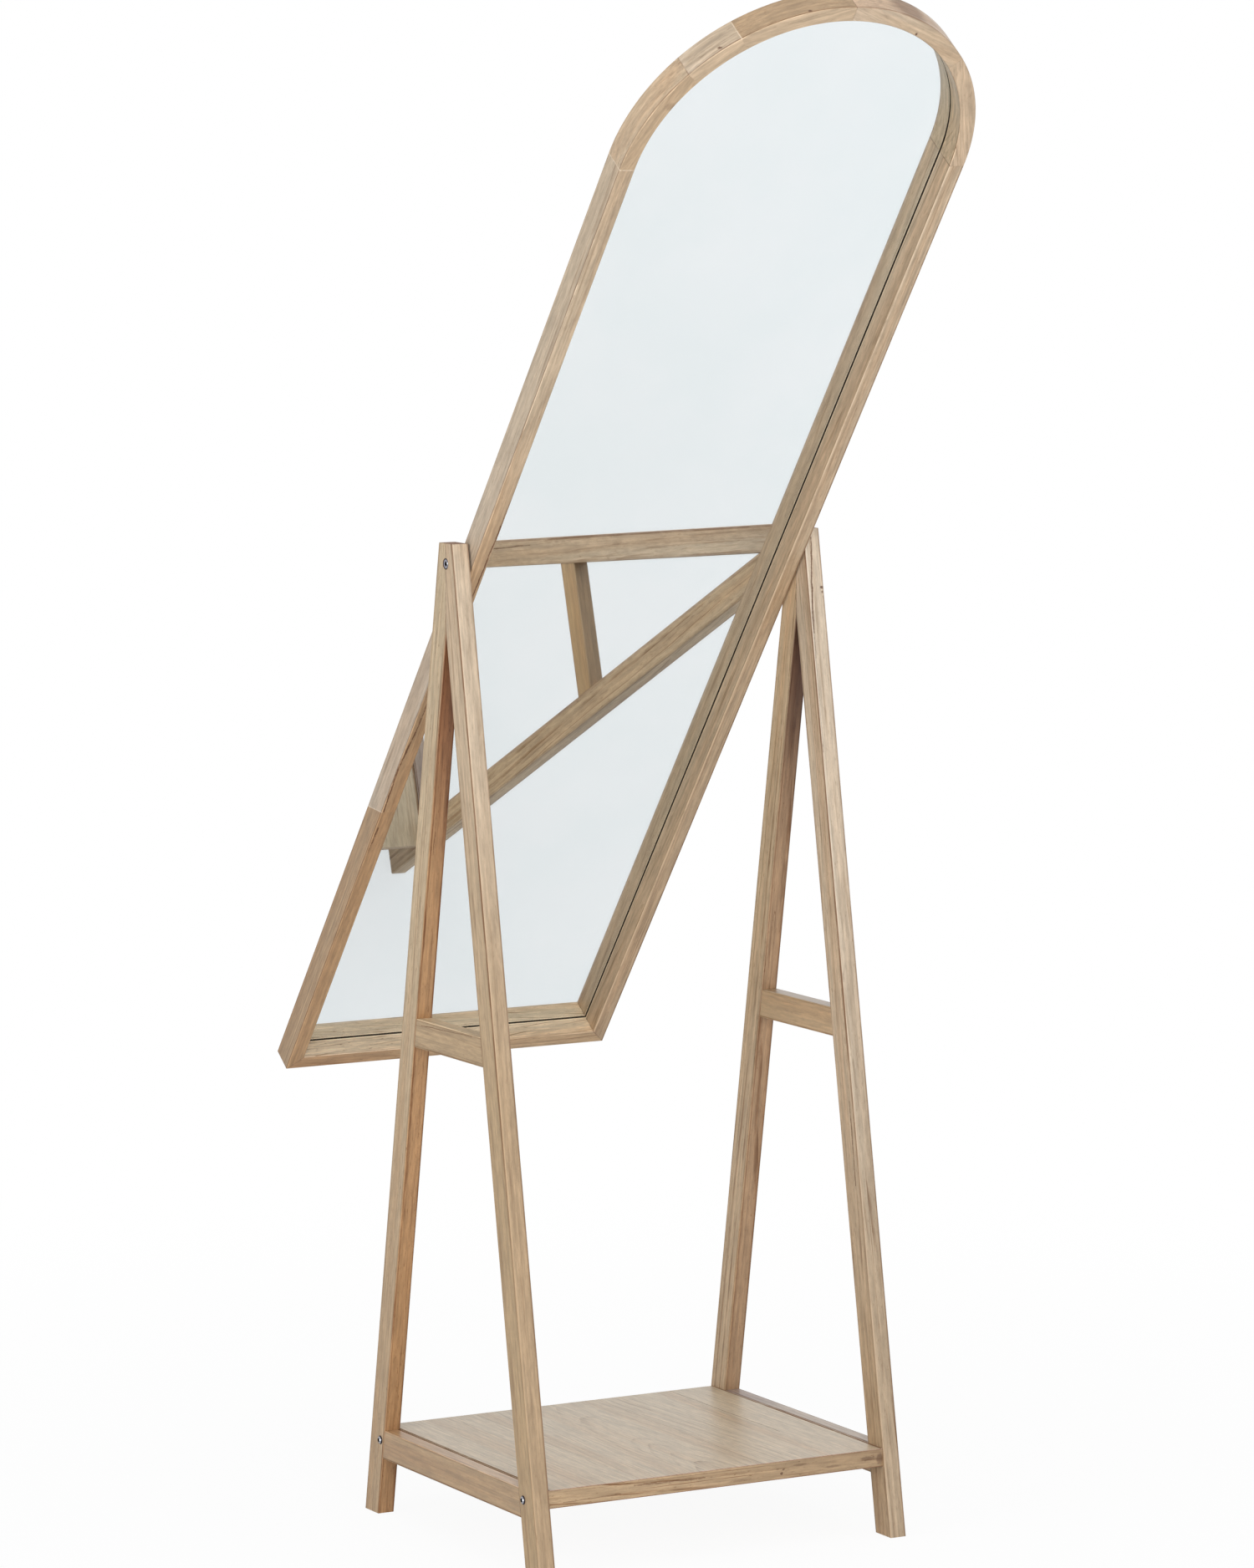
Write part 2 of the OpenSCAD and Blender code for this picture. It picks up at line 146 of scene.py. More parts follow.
# Colours
def srgb(r, g, b):
    """A colour as the photo's file gives it, in the values that the shaders use."""
    def linear(c):
        c /= 255.0
        return c / 12.92 if c <= 0.04045 else ((c + 0.055) / 1.055) ** 2.4

    return (linear(r), linear(g), linear(b), 1.0)


DARK = srgb(104, 72, 52)  # a glue line
CREAM = srgb(232, 214, 190)  # a glue line that shows pale
# For knots and stains, and for a patch of painted shade on the arch
STAIN_AND_SHADE = srgb(92, 62, 44)
CRACK = srgb(94, 60, 42)
SHADOW = srgb(20, 13, 8)  # beneath the lip, where no light comes
# Painted shade in a bolt's socket and round its head
SOCKET_SHADE = srgb(48, 40, 42)
GLINT = srgb(255, 255, 255)

# What the tone of the wood is multiplied with
COOL = (1.02, 1.04, 1.07, 1)
WARM = (0.9, 0.78, 0.68, 1)
GRAIN_LINE = (0.44, 0.32, 0.22, 1)
END_GRAIN = (0.45, 0.32, 0.27, 1)
# Painted shade for the lines beside edges and for chamfers that face away from the lamps; painted highlight for
# chamfers that face the lamps and for some pale edge lines
PAINTED_SHADE = (0.42, 0.3, 0.24, 1)
PAINTED_HIGHLIGHT = (1.36, 1.4, 1.46, 1)
# A painted highlight on the frame's inner wall, just in front of the glass
LIP_HIGHLIGHT = (1.45, 1.5, 1.55, 1)


# Node helpers
class Tree:
    """Short calls for making and linking shader nodes."""

    def __init__(self, tree):
        self.tree = tree

    def node(self, kind, **settings):
        n = self.tree.nodes.new(kind)
        for key, value in settings.items():
            setattr(n, key, value)
        return n

    def put(self, socket, value):
        """Link an output to a socket, or set the socket's own value."""
        if isinstance(value, bpy.types.NodeSocket):
            self.tree.links.new(value, socket)
        elif value is not None:
            socket.default_value = value

    def math(self, op, a, b=None, clamp=False):
        n = self.node("ShaderNodeMath", operation=op, use_clamp=clamp)
        self.put(n.inputs[0], a)
        self.put(n.inputs[1], b)
        return n.outputs[0]

    def times(self, product, *factors):
        for factor in factors:
            product = self.math("MULTIPLY", product, factor)
        return product

    def plus(self, a, b):
        return self.math("ADD", a, b)

    def minus(self, a, b):
        return self.math("SUBTRACT", a, b)

    def rest(self, mask):
        """What a mask leaves."""
        return self.math("SUBTRACT", 1.0, mask, clamp=True)

    def gap(self, a, b):
        """How far two values are apart."""
        return self.math("ABSOLUTE", self.minus(a, b))

    def vec(self, op, a, b=None, out=0):
        n = self.node("ShaderNodeVectorMath", operation=op)
        self.put(n.inputs[0], a)
        self.put(n.inputs[1], b)
        return n.outputs[out]

    def dot(self, a, b):
        return self.vec("DOT_PRODUCT", a, b, out=1)

    def length(self, a):
        return self.vec("LENGTH", a, out=1)

    def scaled(self, a, factor):
        n = self.node("ShaderNodeVectorMath", operation="SCALE")
        self.put(n.inputs[0], a)
        self.put(n.inputs["Scale"], factor)
        return n.outputs[0]

    def ramp(self, value, low, high, to_low=0.0, to_high=1.0, smooth=True):
        n = self.node("ShaderNodeMapRange", interpolation_type="SMOOTHSTEP" if smooth else "LINEAR")
        for i, v in enumerate((value, low, high, to_low, to_high)):
            self.put(n.inputs[i], v)
        return n.outputs[0]

    def mix(self, fac, a, b, blend="MIX"):
        n = self.node("ShaderNodeMix", data_type="RGBA", blend_type=blend)
        self.put(n.inputs[0], fac)
        self.put(n.inputs[6], a)
        self.put(n.inputs[7], b)
        return n.outputs[2]

    def tint(self, colour, by):
        return self.mix(1.0, colour, by, "MULTIPLY")

    def noise(self, place, scale, detail=2.0, rough=0.5, seed=None, colour=False):
        """Noise stretched by three scales, per metre."""
        v = self.vec("MULTIPLY", place, scale)
        if seed is not None:
            v = self.vec("ADD", v, seed)
        n = self.node("ShaderNodeTexNoise")
        self.put(n.inputs["Vector"], v)
        n.inputs["Scale"].default_value = 1.0
        n.inputs["Detail"].default_value = detail
        n.inputs["Roughness"].default_value = rough
        return n.outputs["Color" if colour else "Fac"]

    def sway(self, place, scale, detail, rough, size, seed=None):
        """A push this way and that, as wide as size along each axis."""
        v = self.noise(place, scale, detail, rough, seed, colour=True)
        return self.vec("MULTIPLY", self.vec("SUBTRACT", v, (0.5, 0.5, 0.5)), size)

    def bump(self, height, strength, distance):
        n = self.node("ShaderNodeBump")
        n.inputs["Strength"].default_value = strength
        n.inputs["Distance"].default_value = distance
        self.put(n.inputs["Height"], height)
        return n.outputs[0]


def new_material(name):
    """A material, its node helper and its main shader."""
    m = bpy.data.materials.new(name)
    m.use_nodes = True
    return m, Tree(m.node_tree), m.node_tree.nodes["Principled BSDF"]


# Wood grain
def ring_count(t, inputs):
    """How many rings lie between a place and the pith, with the wander and the uneven years of a real log."""
    place, seed = inputs["Place"], inputs["Seed"]
    slope = t.scaled(inputs["Slope"], t.dot(place, (1, 0, 0)))
    wander = t.sway(place, (1.6, 9, 9), 3, 0.55, (0, 0.022, 0.022), seed)
    wave = t.sway(place, (14, 60, 60), 2, 0.5, (0, 0.0018, 0.0018), seed)
    q = t.vec("ADD", t.vec("SUBTRACT", place, inputs["Pith"]), slope)
    q = t.vec("ADD", q, t.vec("ADD", wander, wave))
    rings = t.math("DIVIDE", t.length(t.vec("MULTIPLY", q, (0, 1, 1))), inputs["Ring"])
    uneven = t.node("ShaderNodeTexNoise", noise_dimensions="1D")
    t.put(uneven.inputs["W"], t.plus(t.times(rings, 0.43), t.dot(seed, (1, 1, 1))))
    uneven.inputs["Scale"].default_value = 1.0
    return t.plus(rings, t.times(uneven.outputs["Fac"], 2.2))


def late_wood(t, rings, place, seed):
    """The dark line that ends each ring: stronger in some years, and broken along the grain."""
    part = t.math("FRACT", rings)
    year = t.node("ShaderNodeTexWhiteNoise", noise_dimensions="1D")
    t.put(year.inputs["W"], t.math("FLOOR", rings))
    strength = t.ramp(year.outputs["Value"], 0.0, 1.0, 0.15, 1.0, smooth=False)
    line = t.times(t.ramp(part, 0.3, 0.95), t.ramp(part, 0.95, 1.0, 1.0, 0.0))
    broken = t.ramp(t.noise(place, (13, 150, 150), 3, 0.6, seed), 0.4, 0.64, 0.08, 1.0)
    return t.times(t.math("POWER", line, 3.5), strength, broken)


def make_wood_group():
    """Wood cut from a log: rings round a pith that runs along X, fibres, pores and slow changes of colour."""
    g = bpy.data.node_groups.new("wood_grain", "ShaderNodeTree")
    given = {"Place": "Vector", "Facing": "Float", "Seed": "Vector", "Pith": "Vector", "Slope": "Vector",
             "Ring": "Float", "Tone": "Color", "Contrast": "Float"}
    made = {"Color": "Color", "Roughness": "Float", "Height": "Float"}
    for way, sockets in (("INPUT", given), ("OUTPUT", made)):
        for name, kind in sockets.items():
            g.interface.new_socket(name, in_out=way, socket_type="NodeSocket" + kind)
    t = Tree(g)
    inputs = t.node("NodeGroupInput").outputs
    place, seed, contrast = inputs["Place"], inputs["Seed"], inputs["Contrast"]
    rings = ring_count(t, inputs)
    late = late_wood(t, rings, place, seed)

    broad = t.noise(place, (1.1, 26, 26), 2, 0.5, seed)
    colour = t.tint(inputs["Tone"], t.mix(t.ramp(broad, 0.38, 0.68, -0.35, 0.55), COOL, WARM))
    line = t.tint(inputs["Tone"], GRAIN_LINE)
    threads = t.ramp(t.noise(place, (3.5, 420, 420), 3, 0.65, seed), 0.62, 0.74)
    flecks = t.ramp(t.noise(place, (110, 800, 800), 2, 0.6, seed), 0.62, 0.74)
    for mark, strength in ((late, 1.6), (threads, 1.3), (flecks, 1.0)):
        colour = t.mix(t.times(mark, contrast, strength), colour, line)

    mottle = t.noise(place, (55, 330, 330), 3, 0.7, seed)
    strand = t.noise(place, (4, 330, 330), 2, 0.55, seed)
    patch = t.noise(place, (16, 150, 150), 3, 0.6, seed)
    fibre = t.noise(place, (11, 1500, 1500), 3, 0.6, seed)
    shades = (mottle, 0.88, 1.1), (strand, 0.9, 1.08), (patch, 0.89, 1.12), (fibre, 0.95, 1.04)
    for shade, dark, light in shades:
        colour = t.tint(colour, t.ramp(shade, 0.3, 0.7, dark, light))

    early = t.ramp(t.math("FRACT", rings), 0.0, 0.45, 1.0, 0.0)
    dashes = t.ramp(t.noise(place, (38, 2300, 2300), 1, 0.5, seed), 0.62, 0.74)
    pores = t.times(dashes, t.plus(t.times(early, 0.75), 0.25))
    colour = t.mix(t.times(pores, 0.3), colour, line)
    end = t.ramp(inputs["Facing"], 0.72, 0.93)
    colour = t.mix(end, colour, t.tint(colour, END_GRAIN))

    outputs = t.node("NodeGroupOutput").inputs
    t.put(outputs["Color"], colour)
    t.put(outputs["Roughness"], t.plus(t.times(fibre, 0.18), t.plus(t.times(end, 0.2), 0.42)))
    hollow = t.plus(t.times(pores, 0.9), t.times(late, 0.25))
    t.put(outputs["Height"], t.minus(t.times(fibre, 0.35), hollow))
    return g


WOOD = make_wood_group()
RIM_W = 0.0019  # how wide the lines beside the edges are
LEG_RIM_W = 0.0028
VENEER_RIM_W = 0.0022


class Wood(Tree):
    """The looks of one piece of wood, built up mark by mark. Its grain runs along a direction, and its own
    coordinates start at origin, with X along the grain."""

    def __init__(self, tree, grain, side, origin):
        super().__init__(tree)
        self.origin = Vector(origin)
        self.ex = Vector(grain).normalized()
        self.ez = self.ex.cross(Vector(side)).normalized()
        self.ey = self.ez.cross(self.ex)
        turn = Matrix((self.ex, self.ey, self.ez))
        self.spot = self.node("ShaderNodeTexCoord").outputs["Object"]
        flat = self.node("ShaderNodeVectorTransform", vector_type="NORMAL", convert_from="WORLD",
                         convert_to="OBJECT")
        self.put(flat.inputs[0], self.node("ShaderNodeNewGeometry").outputs["True Normal"])
        self.normal = flat.outputs[0]
        mapping = self.node("ShaderNodeMapping")
        self.put(mapping.inputs["Vector"], self.spot)
        mapping.inputs["Rotation"].default_value = turn.to_euler("XYZ")
        mapping.inputs["Location"].default_value = -(turn @ self.origin)
        self.place = mapping.outputs[0]
        self.along = self.dot(self.place, (1, 0, 0))
        self.ragged = self.noise(self.spot, (420, 420, 420), 3, 0.65)
        self.tone = None
        self.dull = []  # masks of the dark lines, which have no sheen

    def toward(self, direction):
        return self.dot(self.normal, Vector(direction).normalized())

    def looks(self, direction, low=0.55, high=0.75):
        """1 on the faces that look in a direction."""
        return self.ramp(self.toward(direction), low, high)

    def paint(self, mask, colour):
        self.colour = self.mix(mask, self.colour, colour)

    def lay_tones(self, tones, span, seed):
        """The tone of each face. It changes along the grain over span, or over a span of its own."""
        drift = self.noise(self.place, (3, 40, 40), 2, 0.5, seed)
        drifted = self.plus(self.along, self.times(self.minus(drift, 0.5), 0.25))
        for direction, start, end, *own_span in tones:
            reach = own_span[0] if own_span else span
            own = start if start == end else self.mix(self.ramp(drifted, *reach), start, end)
            self.tone = own if self.tone is None else self.mix(self.looks(direction), self.tone, own)

    def lay_grain(self, seed, pith, slope, ring, contrast):
        g = self.node("ShaderNodeGroup", node_tree=WOOD)
        given = {"Place": self.place, "Facing": self.math("ABSOLUTE", self.toward(self.ex)), "Seed": seed,
                 "Pith": pith, "Slope": slope, "Ring": ring, "Tone": self.tone, "Contrast": contrast}
        for key, value in given.items():
            self.put(g.inputs[key], value)
        self.colour = g.outputs["Color"]
        self.roughness = g.outputs["Roughness"]
        self.height = g.outputs["Height"]

    def knot(self, place, radius, strength, faces=None):
        """A ragged stain, or a smoother dark patch of painted shade that only the faces show that look in a
        direction.
        """
        away = self.length(self.vec("DIVIDE", self.vec("SUBTRACT", self.spot, place), radius))
        uneven = self.times(self.minus(self.ragged, 0.5), 1.2 if faces is None else 0.25)
        mask = self.times(self.ramp(self.plus(away, uneven), 1.0, 0.4, 0.0, 1.0), strength)
        if faces is not None:
            mask = self.times(mask, self.looks(faces, 0.4, 0.6))
        self.paint(mask, STAIN_AND_SHADE)

    def streak(self, start, end, width, strength):
        """A dark line between two places, ragged in its course and its width."""
        start, run = Vector(start), Vector(end) - Vector(start)
        bend = self.sway(self.spot, (60, 60, 60), 3, 0.6, (width * 2.4,) * 3)
        arm = self.vec("SUBTRACT", self.vec("ADD", self.spot, bend), start)
        reach = self.math("DIVIDE", self.dot(arm, run), run.length_squared, clamp=True)
        away = self.length(self.vec("SUBTRACT", arm, self.scaled(run, reach)))
        wide = self.times(self.ramp(self.ragged, 0.3, 0.65, 0.65, 1.1), width)
        mask = self.times(self.ramp(self.math("DIVIDE", away, wide), 1.1, 0.2, 0.0, 1.0), strength)
        self.dull.append(mask)
        self.paint(mask, CRACK)

    def edge_gaps(self, piece, row, first):
        """How far a place is from the piece's two edges along Y (row 1) or Z (row 2) of its own coordinates,
        the edge on the side of first before the other."""
        axis = (self.ex, self.ey, self.ez)[row]
        across = self.dot(self.place, Matrix.Identity(3)[row])
        reach = [(v.co - self.origin).dot(axis) for v in NODES[piece].data.vertices]
        ends = sorted((min(reach), max(reach)), reverse=axis.dot(first) > 0)
        return [self.gap(across, end) for end in ends]

    def rims(self, gaps, strengths, wide, side, breakup, faded=1.0):
        """Painted shade lines beside the two edges of the faces that look along side or, for a strength below
        zero, painted highlight lines.
        """
        shown = self.ramp(self.math("ABSOLUTE", self.toward(side)), 0.85, 0.95)
        for gap, strength in zip(gaps, strengths):
            if strength:
                rim = self.times(self.ramp(gap, wide * 1.35, wide * 0.9, 0.0, 1.0), shown)
                rim = self.times(rim, self.ramp(breakup, 0.35, 0.55, 0.55, 1.0), abs(strength), faded)
                self.paint(rim, self.tint(self.tone, PAINTED_SHADE if strength > 0 else PAINTED_HIGHLIGHT))
                if strength > 0:
                    self.dull.append(rim)

    def chamfers(self, face, front_gap, arris, highlight_breaks, split, breakup, faded):
        """The chamfers round the face: a painted highlight where they look left or up, towards the lamps, apart
        from a painted shade strip of strength split behind the front edge, and painted shade elsewhere. How
        broken the painted highlights are is given as a range over the noise."""
        ahead = self.toward(face)
        chamfer = self.times(self.ramp(ahead, 0.3, 0.5), self.ramp(ahead, 0.93, 0.82))
        lit = self.ramp(self.toward((-0.8, 0, 0.6)), 0.05, 0.2)
        shaded = self.times(self.ramp(front_gap, 0.0003, 0.0005), split, faded)
        light = self.times(self.ramp(breakup, *highlight_breaks), arris[0], self.rest(shaded))
        shade_colour = self.tint(self.tone, PAINTED_SHADE)
        self.paint(self.times(chamfer, lit, light), self.tint(self.tone, PAINTED_HIGHLIGHT))
        self.paint(self.times(chamfer, lit, shaded), shade_colour)
        self.paint(self.times(chamfer, self.rest(lit), arris[1]), shade_colour)

    def edges(self, piece, face, rims, rim_width, arris, highlight_breaks, split, fade):
        """The painted shade and highlight lines and the chamfers at the edges of a piece whose front is face.
        fade is where along the grain the side lines and the painted shade strip grow to their full strength."""
        breakup = self.noise(self.spot, (22, 22, 22), 4, 0.65)
        faded = self.ramp(self.along, *fade, 0.15, 1.0) if fade else 1.0
        side_gaps = self.edge_gaps(piece, 2, face)
        self.rims(side_gaps, rims[:2], rim_width[0], self.ey, breakup, faded)
        self.rims(self.edge_gaps(piece, 1, LEFT), rims[2:], rim_width[1], self.ez, breakup)
        self.chamfers(face, side_gaps[0], arris, highlight_breaks, split, breakup, faded)

    def seam(self, point, across, faces, strength, paint):
        """The glue line in a plane through point, on the faces that look in a direction or on all of them."""
        normal = Vector(across).normalized()
        away = self.minus(self.dot(self.spot, normal), Vector(point).dot(normal))
        away = self.plus(away, self.times(self.minus(self.ragged, 0.5), 0.0006))
        line = self.ramp(self.math("ABSOLUTE", away), 0.0003, 0.0009, 1.0, 0.0)
        if faces is not None:
            line = self.times(line, self.looks(faces, 0.4, 0.6))
        broken = self.noise(self.spot, (170, 170, 170), 2, 0.5)
        line = self.times(line, self.ramp(broken, 0.35, 0.6, 0.35 * strength, strength))
        self.paint(line, paint)
        self.height = self.minus(self.height, self.times(line, 0.6))

    def lip_line(self, strength, inner):
        """A painted highlight, the pale line inside the frame just in front of the glass, and a painted shadow
        on the back of its lip.
        """
        depth = self.minus(self.dot(self.spot, OUT), PIVOT.dot(OUT) + LIP_BACK)
        start = self.ramp(depth, -0.0006, -0.0002, 0.0, 1.0)
        line = self.times(self.ramp(depth, 0.0013, 0.0008, 0.0, 1.0), strength, start)
        self.paint(self.times(line, self.looks(inner, 0.4, 0.6)), self.tint(self.tone, LIP_HIGHLIGHT))
        under = self.times(self.ramp(depth, 0.0006, 0.0002, 0.0, 1.0), start)
        self.paint(self.times(under, self.looks(BEHIND, 0.5, 0.8)), SHADOW)

    def finish(self, bsdf, coat):
        """Link everything to the main shader. The dark lines are rough and take the coat away."""
        rough, weight = self.roughness, coat
        if self.dull:
            sheen = self.rest(self.dull[0])
            for mask in self.dull[1:]:
                sheen = self.times(sheen, self.rest(mask))
            rough = self.math("ADD", rough, self.times(self.rest(sheen), 0.5), clamp=True)
            weight = self.times(sheen, coat) if coat else coat
        self.put(bsdf.inputs["Base Color"], self.colour)
        self.put(bsdf.inputs["Normal"], self.bump(self.height, 0.35, 0.0004))
        self.put(bsdf.inputs["Roughness"], rough)
        self.put(bsdf.inputs["Coat Weight"], weight)
        bsdf.inputs["Specular IOR Level"].default_value = 0.45
        if coat:
            bsdf.inputs["Coat Roughness"].default_value = 0.35


def wood(name, piece, grain, side, origin, number, tones, span=(0.0, 1.0), pith=(0, 0.06, 0.035),
         slope=(0, 0.02, 0.01), ring=0.0055, contrast=0.4, knots=(), streaks=(), face=None,
         rims=(0.0, 0.0, 0.0, 0.0), rim_width=(RIM_W, RIM_W), arris=(0.0, 0.0), highlight_breaks=(0.35, 0.55), split=0.0,
         fade=None, seams=(), rabbet=0.0, inner=None, coat=0.0):
    """Wood for one piece; number picks its own grain. tones are a direction, the colours where span starts
    and where it ends along the grain, and a span of its own if it has one. rims are the strengths of the
    painted shade lines on the sides, near the front and near the back, and on the front, near its left and its
    right edge;
    a strength below zero gives a painted highlight line. rabbet is the strength of the painted highlight line
    in front of the glass, on the faces that look toward inner."""
    material, t, bsdf = new_material(name)
    seed = Vector((math.sin(number * 12.9) * 31, math.sin(number * 78.2) * 47, math.sin(number * 37.7) * 53))
    look = Wood(t.tree, grain, side, origin)
    look.lay_tones(tones, span, seed)
    look.lay_grain(seed, pith, slope, ring, contrast)
    for knot in knots:
        look.knot(*knot)
    for streak in streaks:
        look.streak(*streak)
    if face is not None:
        look.edges(piece, face, rims, rim_width, arris, highlight_breaks, split, fade)
    for seam in seams:
        look.seam(*seam)
    if rabbet:
        look.lip_line(rabbet, inner)
    look.finish(bsdf, coat)
    return material


def even(direction, *rgb):
    """A tone that stays the same along the piece."""
    return direction, srgb(*rgb), srgb(*rgb)


def dress(node, material):
    materials = NODES[node].data.materials
    materials.clear()
    materials.append(material)


# Legs
APEX_SEAM = ((0, 0, 0), BACK, None, 0.7, DARK)
# Painted shade lines and painted highlights at the legs' edges
FRONT_LEG_EDGES = {"rims": (0.9, 0.3, -0.4, 0.6), "arris": (0.75, 0.6), "highlight_breaks": (0.3, 0.5), "split": 0.9,
                   "fade": (0.15, 0.65)}
BACK_LEG_EDGES = {"arris": (0.3, 0.7), "highlight_breaks": (0.5, 0.7)}


def leg(node, side, end, number, tones, **look):
    """The wood of one leg, from the floor up. side is -1 for left, end -1 for front."""
    grain = FRONT_UP if end < 0 else BACK_UP
    dress(node, wood("wood_" + node, node, grain, RIGHT, (side * SIDE_X, end * FOOT_Y, 0), number, tones,
                     seams=[APEX_SEAM], face=FRONT, rim_width=(LEG_RIM_W, RIM_W), **look))


leg("left_front_leg", -1, -1, 1.3, [
    (EVERY, srgb(171, 143, 107), srgb(188, 164, 135)),
    (FRONT, srgb(172, 145, 114), srgb(196, 175, 150)),
    even(BACK, 150, 118, 84),
], span=(0.45, 1.0), pith=(0, 0.035, -0.05), **FRONT_LEG_EDGES)
leg("left_back_leg", -1, 1, 2.7, [
    (EVERY, srgb(175, 147, 114), srgb(186, 163, 131)),
    # Darker towards the apex: painted shade where the back leg meets the front leg
    (FRONT, srgb(177, 135, 94), srgb(134, 88, 56), (0.74, 1.0)),
], span=(0.1, 0.9), pith=(0, -0.04, 0.06), contrast=0.8, rims=(0.3, 0.2, 0.5, 0.6), **BACK_LEG_EDGES,
    streaks=[(on_back_leg(-0.2217, 0.84, 0.0021), on_back_leg(-0.2236, 0.70, -0.0023), 0.001, 0.6),
             (on_back_leg(-0.216, 0.66, 0.0007), on_back_leg(-0.217, 0.52, 0.0013), 0.0009, 0.5)])
leg("right_front_leg", 1, -1, 4.1, [
    (EVERY, srgb(178, 150, 117), srgb(207, 184, 156)),
    (FRONT, srgb(176, 153, 126), srgb(208, 195, 176), (0.25, 1.0)),
    even(BACK, 168, 138, 100),
], span=(0.1, 0.9), pith=(0, 0.05, 0.045), contrast=0.65, **FRONT_LEG_EDGES,
    knots=spots(on_front_leg,
                (0.2252, 1.0323, 0.0026, 0.0024, 0.9),
                (0.2256, 1.0272, 0.0015, 0.0022, 0.8),
                (0.2262, 1.0215, 0.001, 0.003, 0.4),
                (0.2096, 0.6085, 0.0014, 0.008, 0.8)),
    streaks=[*line_through([on_front_leg(0.2171, 1.087), on_front_leg(0.2129, 1.0352),
                            on_front_leg(0.2104, 0.9833), on_front_leg(0.2094, 0.853)],
                           (0.0013, 0.85), (0.0015, 0.95), (0.0009, 0.8)),
             *line_through([on_front_leg(INNER_X, 0.38, 0.0102), on_front_leg(INNER_X, 0.472, 0.0081),
                            on_front_leg(INNER_X, 0.62, 0.0038)],
                           (0.0012, 0.85), (0.0007, 0.5)),
             (on_front_leg(INNER_X, 0.67, 0.013), on_front_leg(INNER_X, 0.93, 0.0147), 0.0006, 0.45)])
leg("right_back_leg", 1, 1, 5.2, [
    (EVERY, srgb(190, 163, 130), srgb(207, 180, 145)),
    # Darker towards the apex: painted shade where the back leg meets the front leg
    (FRONT, srgb(168, 135, 103), srgb(84, 52, 34), (0.65, 1.02)),
], span=(0.45, 0.95), pith=(0, -0.03, -0.07), contrast=0.7, rims=(0.35, 0.2, 0.5, 0.6), **BACK_LEG_EDGES)

# Crossbars and shelf rails
CROSSBAR_LOOK = {"pith": (0, 0.05, 0.03), "rims": (0.3, 0.6, 0.0, 0.0), "arris": (0.8, 0.3)}
RAIL_PITH = (0, -0.03, 0.05)


def bar(node, side, z, number, tones, **look):
    """The wood of one bar between a front leg and a back leg, with the glue lines where it meets them."""
    seams = [((0, end * inner_y(z), z), (0, math.cos(LEAN), end * math.sin(LEAN)), None, 0.7, DARK)
             for end in (-1, 1)]
    dress(node, wood("wood_" + node, node, BACK, RIGHT, (side * SIDE_X, 0, z), number, tones, seams=seams,
                     face=TOP, **look))


bar("left_crossbar", -1, CROSSBAR_Z, 6.3, [
    even(EVERY, 169, 142, 108),
    even(TOP, 202, 176, 140),
], **CROSSBAR_LOOK,
    streaks=line_through([(-BAR_FACE_X, 0.0634, 0.5658),
                          (-BAR_FACE_X, 0.02, 0.5672),
                          (-BAR_FACE_X, -0.055, 0.5695)], (0.0008, 0.7), (0.0006, 0.6)))
bar("right_crossbar", 1, CROSSBAR_Z, 7.3, [
    even(EVERY, 188, 156, 113),
    even(TOP, 156, 131, 98),
], **CROSSBAR_LOOK, coat=1.0)
bar("left_shelf_rail", -1, RAIL_Z, 8.4, [
    even(EVERY, 165, 134, 96),
    (TOP, srgb(194, 163, 131), srgb(178, 140, 100)),
], span=(-0.05, 0.12), pith=RAIL_PITH, contrast=0.5, rims=(0.2, 0.6, 0.0, 0.95), arris=(0.6, 0.3), coat=0.5)
bar("right_shelf_rail", 1, RAIL_Z, 9.4, [
    even(EVERY, 180, 154, 124),
    (TOP, srgb(182, 163, 145), srgb(154, 134, 121)),
], span=(0.02, 0.1), pith=RAIL_PITH, contrast=0.6, rims=(0.9, 0.3, 0.95, 0.3), arris=(0.0, 0.3), coat=0.5)

# Shelf: the veneer's grain runs from front to back, and the lippings' along X
for node, edge in (("shelf_top_veneer", srgb(252, 238, 218)), ("shelf_bottom_veneer", srgb(194, 160, 120))):
    dress(node, wood("wood_" + node, node, BACK, RIGHT, (0, 0, SHELF_TOP), 3.9, [
        (EVERY, srgb(196, 175, 146), srgb(196, 177, 149)),
        (FRONT, edge, edge),
    ], span=(-0.2, 0.2), pith=(0, 0.0, -0.05), slope=(0, 0.0, 0.09), ring=0.006, contrast=0.55, face=TOP,
        # Painted shadow lines along the left and right edges of the broad faces, beside the rails
        rims=(0.0, 0.0, 1.0, 1.0), rim_width=(RIM_W, VENEER_RIM_W), coat=0.6,
        streaks=[((0.152, 0.185, SHELF_TOP), (0.153, -0.06, SHELF_TOP), 0.001, 0.6),
                 ((0.058, 0.185, SHELF_TOP), (0.056, -0.187, SHELF_TOP), 0.0007, 0.45),
                 ((-0.1, 0.18, SHELF_TOP), (-0.098, -0.12, SHELF_TOP), 0.0007, 0.4)]))
dress("shelf_core", wood("wood_shelf_core", "shelf_core", BACK, RIGHT, (0, 0, SHELF_MIDDLE), 3.1,
                         [even(EVERY, 150, 118, 88)]))
